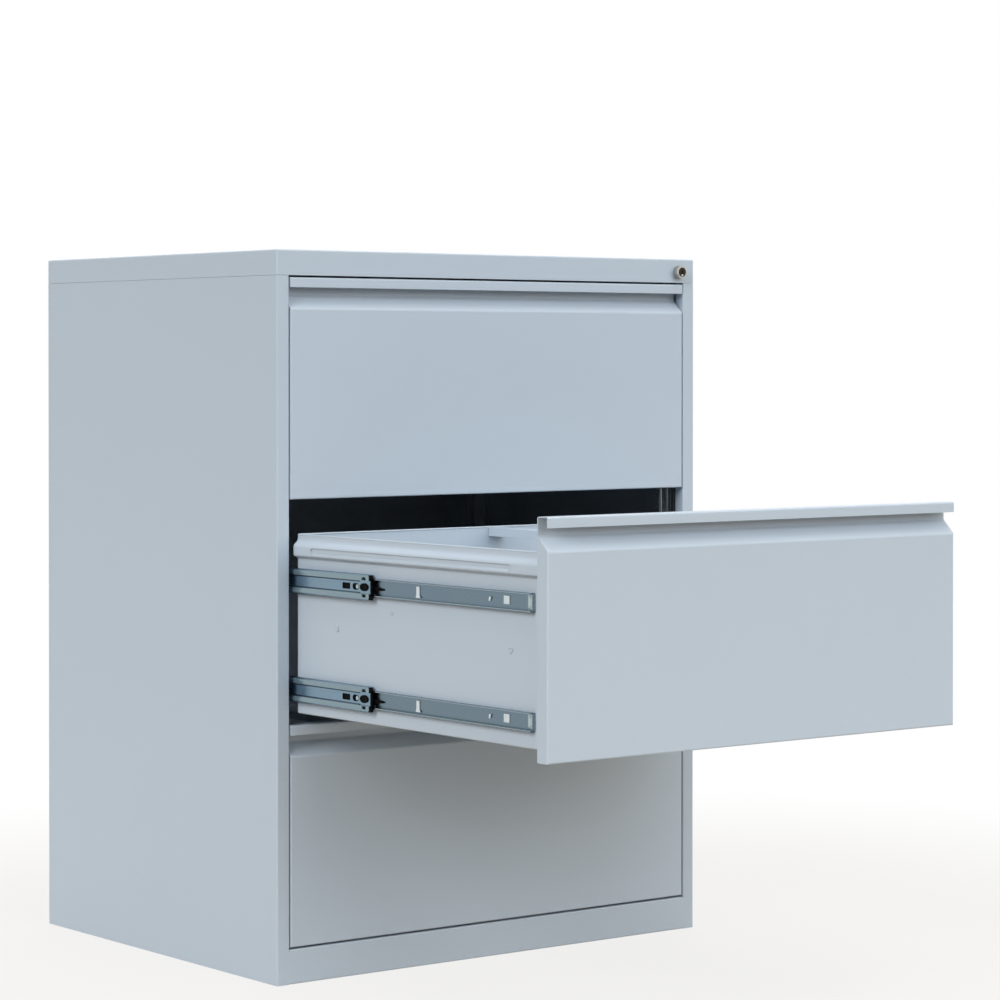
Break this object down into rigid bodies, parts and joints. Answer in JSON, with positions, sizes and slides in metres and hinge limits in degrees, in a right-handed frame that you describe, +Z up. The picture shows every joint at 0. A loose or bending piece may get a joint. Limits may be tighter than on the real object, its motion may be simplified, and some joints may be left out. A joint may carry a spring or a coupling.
{
  "type": "filing cabinet",
  "caption": "Steel hanging-file cabinet with full-width drawers on telescopic slides, hooked full-width handles, a plinth and a cam lock that shifts a bar.",
  "frame": {"origin": "on the floor at mid-width, in the middle of the foot flange of the front plinth", "axes": "+X to the viewer's right, +Y from the front to the back, +Z up; drawers open along -Y"},
  "size_m": [0.77, 1.215, 1.03],
  "materials": {
    "powder_coat": "satin",
    "zinc_steel": "satin",
    "chrome": "polished"
  },
  "bodies": {
    "cabinet": {"left_side_panel": "powder_coat", "left_front_upright": "powder_coat", "left_rear_upright": "powder_coat", "right_side_panel": "powder_coat", "right_front_upright": "powder_coat", "right_rear_upright": "powder_coat", "back_panel": "powder_coat", "top_panel": "powder_coat", "base_panel": "powder_coat", "plinth": "powder_coat", "lock_housing": "chrome", "drawer_1_left_lower_outer": "zinc_steel", "drawer_1_left_upper_outer": "zinc_steel", "drawer_1_right_lower_outer": "zinc_steel", "drawer_1_right_upper_outer": "zinc_steel", "drawer_2_left_lower_outer": "zinc_steel", "drawer_2_left_upper_outer": "zinc_steel", "drawer_2_right_lower_outer": "zinc_steel", "drawer_2_right_upper_outer": "zinc_steel", "drawer_3_left_lower_outer": "zinc_steel", "drawer_3_left_upper_outer": "zinc_steel", "drawer_3_right_lower_outer": "zinc_steel", "drawer_3_right_upper_outer": "zinc_steel"},
    "lock_plug": {"lock_plug": "chrome", "lock_cam": "zinc_steel"},
    "lock_bar": {"lock_bar": "zinc_steel", "lock_bar_head": "zinc_steel"},
    "drawer_1": {"drawer_1_front": "powder_coat", "drawer_1_body": "powder_coat", "drawer_1_centre_rail": "powder_coat", "drawer_1_left_lower_inner": "zinc_steel", "drawer_1_left_upper_inner": "zinc_steel", "drawer_1_right_lower_inner": "zinc_steel", "drawer_1_right_upper_inner": "zinc_steel"},
    "drawer_1_slide_middles": {"drawer_1_left_lower_middle": "zinc_steel", "drawer_1_left_upper_middle": "zinc_steel", "drawer_1_right_lower_middle": "zinc_steel", "drawer_1_right_upper_middle": "zinc_steel"},
    "drawer_2": {"drawer_2_front": "powder_coat", "drawer_2_body": "powder_coat", "drawer_2_centre_rail": "powder_coat", "drawer_2_left_lower_inner": "zinc_steel", "drawer_2_left_upper_inner": "zinc_steel", "drawer_2_right_lower_inner": "zinc_steel", "drawer_2_right_upper_inner": "zinc_steel"},
    "drawer_2_slide_middles": {"drawer_2_left_lower_middle": "zinc_steel", "drawer_2_left_upper_middle": "zinc_steel", "drawer_2_right_lower_middle": "zinc_steel", "drawer_2_right_upper_middle": "zinc_steel"},
    "drawer_3": {"drawer_3_front": "powder_coat", "drawer_3_body": "powder_coat", "drawer_3_centre_rail": "powder_coat", "drawer_3_left_lower_inner": "zinc_steel", "drawer_3_left_upper_inner": "zinc_steel", "drawer_3_right_lower_inner": "zinc_steel", "drawer_3_right_upper_inner": "zinc_steel"},
    "drawer_3_slide_middles": {"drawer_3_left_lower_middle": "zinc_steel", "drawer_3_left_upper_middle": "zinc_steel", "drawer_3_right_lower_middle": "zinc_steel", "drawer_3_right_upper_middle": "zinc_steel"}
  },
  "joints": [
    {"name": "drawer_1_pull", "type": "slide", "parent": "cabinet", "child": "drawer_1", "axis": [0, -1, 0], "range_m": [0, 0.577]},
    {"name": "drawer_1_middles_run", "type": "slide", "parent": "cabinet", "child": "drawer_1_slide_middles", "axis": [0, -1, 0], "range_m": [0, 0.2242]},
    {"name": "drawer_2_pull", "type": "slide", "parent": "cabinet", "child": "drawer_2", "axis": [0, -1, 0], "range_m": [-0.577, 0]},
    {"name": "drawer_2_middles_run", "type": "slide", "parent": "cabinet", "child": "drawer_2_slide_middles", "axis": [0, -1, 0], "range_m": [-0.2242, 0]},
    {"name": "drawer_3_pull", "type": "slide", "parent": "cabinet", "child": "drawer_3", "axis": [0, -1, 0], "range_m": [0, 0.577]},
    {"name": "drawer_3_middles_run", "type": "slide", "parent": "cabinet", "child": "drawer_3_slide_middles", "axis": [0, -1, 0], "range_m": [0, 0.2242]},
    {"name": "lock_turn", "type": "hinge", "parent": "cabinet", "child": "lock_plug", "pos_m": [0.3528, -0.015, 1.01], "axis": [0, -1, 0], "range_deg": [0, 90]},
    {"name": "lock_bar_shift", "type": "slide", "parent": "cabinet", "child": "lock_bar", "axis": [-1, 0, 0], "range_m": [0, 0.00325]}
  ],
  "couplings": [
    {"joint": "drawer_1_middles_run", "follows": "drawer_1_pull", "ratio": 0.3885},
    {"joint": "drawer_2_middles_run", "follows": "drawer_2_pull", "ratio": 0.3885},
    {"joint": "drawer_3_middles_run", "follows": "drawer_3_pull", "ratio": 0.3885},
    {"joint": "lock_turn", "follows": "lock_bar_shift", "rad_per_m": 483}
  ]
}
